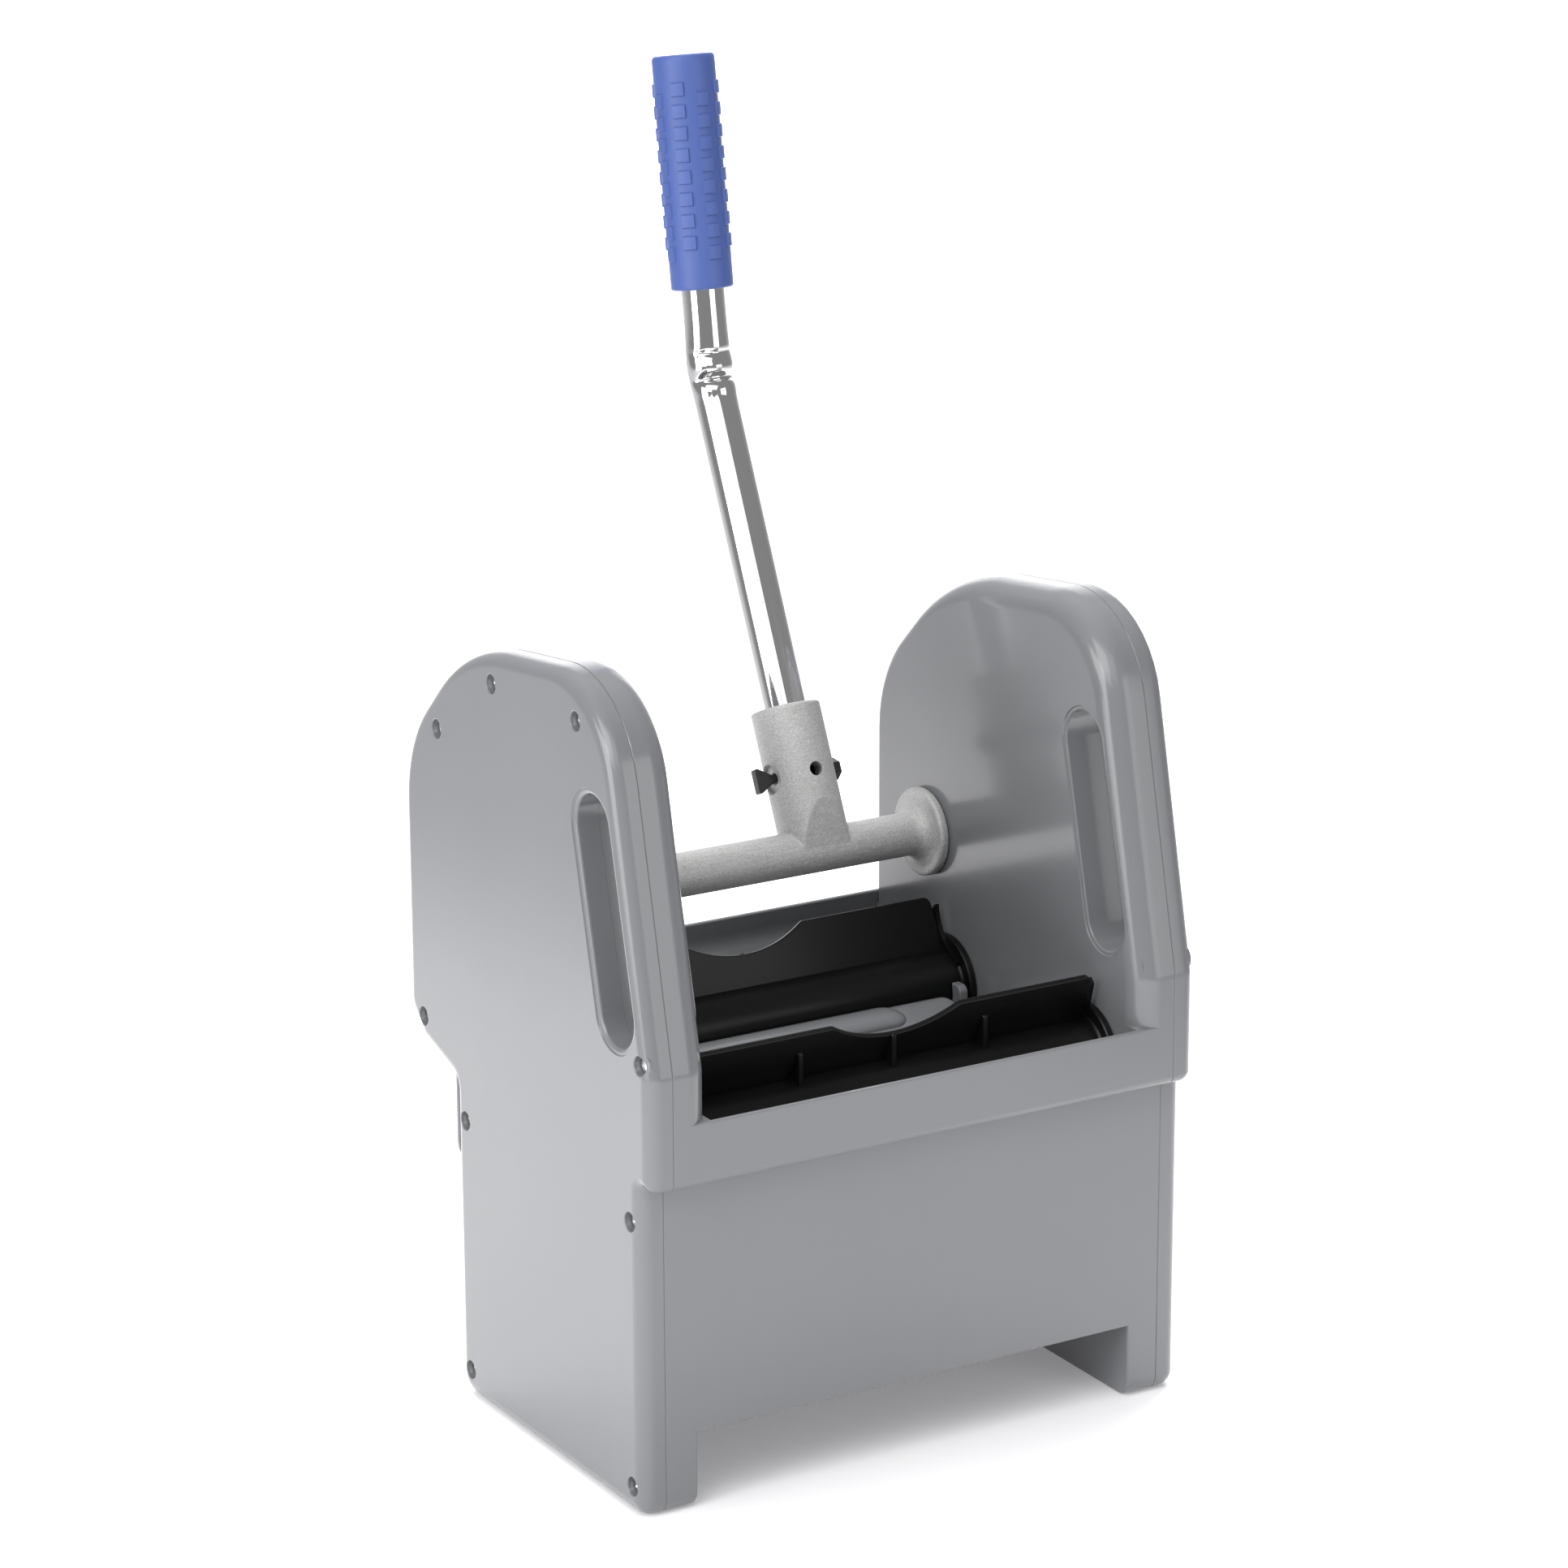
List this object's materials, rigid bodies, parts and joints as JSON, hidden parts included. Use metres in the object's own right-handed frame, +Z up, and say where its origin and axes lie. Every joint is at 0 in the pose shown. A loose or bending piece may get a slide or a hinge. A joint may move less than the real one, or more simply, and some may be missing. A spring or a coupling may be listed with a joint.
{
  "type": "mop wringer",
  "caption": "Down-press mop wringer with side housings, geared press plates, a cast cross bar and a bent lever with a ribbed grip; hangs in a mop bucket.",
  "frame": {"origin": "on the floor, at the middle of the plan box", "axes": "+X right, front faces -Y, +Z up"},
  "size_m": [0.3, 0.3295, 0.6253],
  "materials": {
    "housing": "satin moulded",
    "plates": "satin moulded",
    "casting": "sand cast, bead blasted",
    "tube": "polished",
    "grip": "satin moulded",
    "black_hardware": "semi gloss",
    "screws": "zinc plated",
    "fasteners": "zinc plated",
    "gears": "moulded nylon",
    "bushes": "moulded acetal",
    "springs": "bright spring wire"
  },
  "bodies": {
    "frame": {"main_body": "housing", "left_cover": "housing", "right_cover": "housing", "left_cover_screws": "screws", "right_cover_screws": "screws", "left_lever_bush": "bushes", "right_lever_bush": "bushes", "left_rear_bush": "bushes", "right_rear_bush": "bushes", "left_front_bush": "bushes", "right_front_bush": "bushes", "left_return_spring": "springs", "right_return_spring": "springs"},
    "lever": {"lever_casting": "casting", "lever_tube": "tube", "lever_grip": "grip", "wing_screw_nut": "black_hardware", "left_drive_gear": "gears", "right_drive_gear": "gears", "left_lever_bolt": "fasteners", "right_lever_bolt": "fasteners", "left_lever_washer": "fasteners", "right_lever_washer": "fasteners"},
    "wing_screw": {"wing_screw": "black_hardware"},
    "rear_plate": {"rear_press_plate": "plates", "left_rear_gear": "gears", "right_rear_gear": "gears", "left_rear_bolt": "fasteners", "right_rear_bolt": "fasteners", "left_rear_washer": "fasteners", "right_rear_washer": "fasteners"},
    "front_plate": {"front_press_plate": "plates", "left_front_gear": "gears", "right_front_gear": "gears", "left_front_bolt": "fasteners", "right_front_bolt": "fasteners", "left_front_washer": "fasteners", "right_front_washer": "fasteners"}
  },
  "joints": [
    {"name": "lever_press", "type": "hinge", "parent": "frame", "child": "lever", "pos_m": [0, 0.023, 0.24364], "axis": [-1, 0, 0], "range_deg": [0, 60], "stiffness_Nm_per_rad": 0.8, "springref_deg": -57.3, "deforming": ["left_return_spring", "right_return_spring"]},
    {"name": "rear_plate_close", "type": "hinge", "parent": "frame", "child": "rear_plate", "pos_m": [0, -0.001, 0.171], "axis": [1, 0, 0], "range_deg": [0, 67.5]},
    {"name": "front_plate_close", "type": "hinge", "parent": "frame", "child": "front_plate", "pos_m": [0, -0.124, 0.171], "axis": [-1, 0, 0], "range_deg": [0, 67.5]},
    {"name": "wing_screw_turn", "type": "hinge", "parent": "lever", "child": "wing_screw", "pos_m": [0.0527, 0.03903, 0.27864], "axis": [1, 0, 0], "range_deg": [0, 180]}
  ],
  "couplings": [
    {"joint": "rear_plate_close", "follows": "lever_press", "ratio": 1.125},
    {"joint": "front_plate_close", "follows": "lever_press", "ratio": 1.125}
  ]
}
